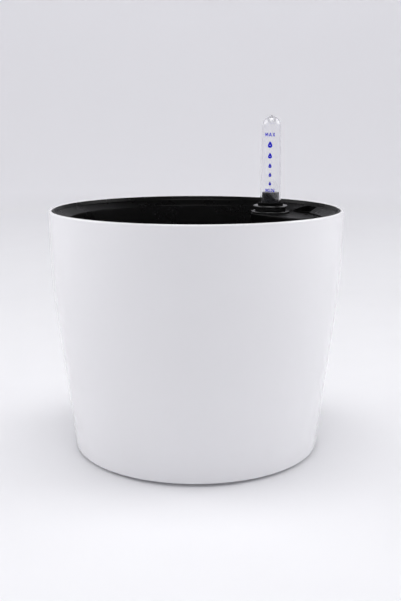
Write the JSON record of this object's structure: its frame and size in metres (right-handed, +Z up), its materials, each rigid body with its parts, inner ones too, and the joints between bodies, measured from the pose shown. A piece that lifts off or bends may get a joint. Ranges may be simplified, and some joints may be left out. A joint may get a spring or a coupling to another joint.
{
  "type": "self-watering planter",
  "caption": "Round tapered planter whose white outer pot holds water under a black liner, with a clear domed float gauge standing at the rim.",
  "frame": {"origin": "on the ground at the centre of the foot ring", "axes": "+Z up along the pot's axis; the water gauge stands at +X and the water opening beside it towards -Y"},
  "size_m": [0.2799, 0.28, 0.3211],
  "materials": {
    "white_gloss_plastic": "glossy white polypropylene",
    "black_liner_plastic": "satin black polypropylene",
    "black_gauge_plastic": "fine matt black",
    "black_rubber": "matt",
    "clear_tube": "clear moulded plastic",
    "grey_indicator": "satin dark grey",
    "rod_plastic": "satin natural plastic",
    "float_foam": "closed-cell foam",
    "wick_cotton": "twisted cotton cord"
  },
  "bodies": {
    "pot": {"outer_pot": "white_gloss_plastic"},
    "washer": {"plug_washer": "black_rubber"},
    "plug": {"drain_plug": "black_gauge_plastic"},
    "liner": {"inner_liner": "black_liner_plastic", "wick_cords": "wick_cotton", "socket_ring": "black_gauge_plastic"},
    "gauge": {"gauge_base": "black_gauge_plastic", "base_washer": "black_rubber", "tube_collar": "black_rubber", "guide_pipe": "black_liner_plastic", "rod_guide": "black_gauge_plastic", "strainer_foot": "black_liner_plastic"},
    "tube": {"gauge_tube": "clear_tube"},
    "float": {"float": "float_foam", "float_rod": "rod_plastic", "indicator_head": "grey_indicator"}
  },
  "joints": [
    {"name": "plug_drop", "type": "slide", "parent": "pot", "child": "washer", "axis": [0, 0, -1], "range_m": [0, 0.007]},
    {"name": "plug_turn", "type": "hinge", "parent": "washer", "child": "plug", "pos_m": [0, 0, 0.004], "axis": [0, 0, -1], "range_deg": [0, 720]},
    {"name": "liner_lift", "type": "slide", "parent": "pot", "child": "liner", "axis": [0, 0, 1], "range_m": [0, 0.24]},
    {"name": "gauge_lift", "type": "slide", "parent": "liner", "child": "gauge", "axis": [0, 0, 1], "range_m": [0, 0.22]},
    {"name": "tube_lift", "type": "slide", "parent": "gauge", "child": "tube", "axis": [0, 0, 1], "range_m": [0, 0.09]},
    {"name": "float_travel", "type": "slide", "parent": "gauge", "child": "float", "axis": [0, 0, 1], "range_m": [0, 0.057]}
  ],
  "couplings": [
    {"joint": "plug_turn", "follows": "plug_drop", "rad_per_m": 1795}
  ]
}
